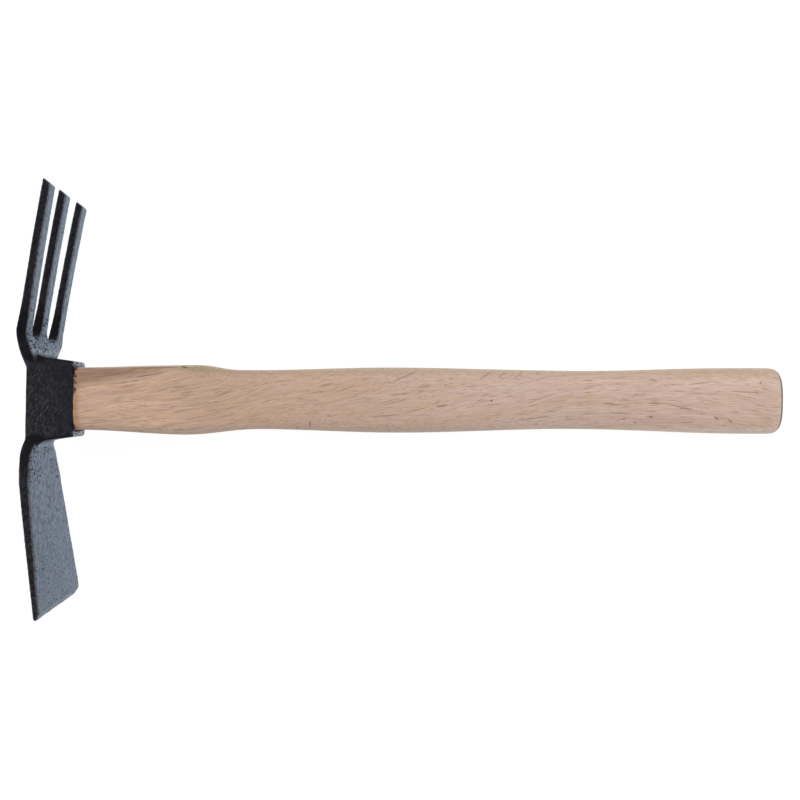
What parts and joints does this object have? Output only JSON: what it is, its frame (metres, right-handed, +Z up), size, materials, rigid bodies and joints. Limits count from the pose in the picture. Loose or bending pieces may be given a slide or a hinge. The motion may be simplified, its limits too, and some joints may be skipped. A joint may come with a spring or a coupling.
{
  "type": "pick hoe",
  "caption": "Short garden pick hoe: a forged steel head with a flat hoe blade on one side and a tined fork on the other, its eye wedged onto a contoured hardwood handle.",
  "frame": {"origin": "on the ground under the middle of the tool as it lies on its side", "axes": "+X along the handle from the head to the butt, +Y from the blade to the tines, +Z up from the ground"},
  "size_m": [0.3794, 0.2082, 0.0603],
  "materials": {
    "painted_steel": "semi-gloss black paint over a rough forging",
    "pale_hardwood": "bare, sanded, with short dark flecks",
    "wedge_wood": "sawn end grain",
    "bare_steel": "plain, hammered flat"
  },
  "bodies": {
    "root": {"forged_head": "painted_steel", "handle": "pale_hardwood", "wood_wedge": "wedge_wood", "steel_wedge_upper": "bare_steel", "steel_wedge_lower": "bare_steel"}
  },
  "joints": []
}
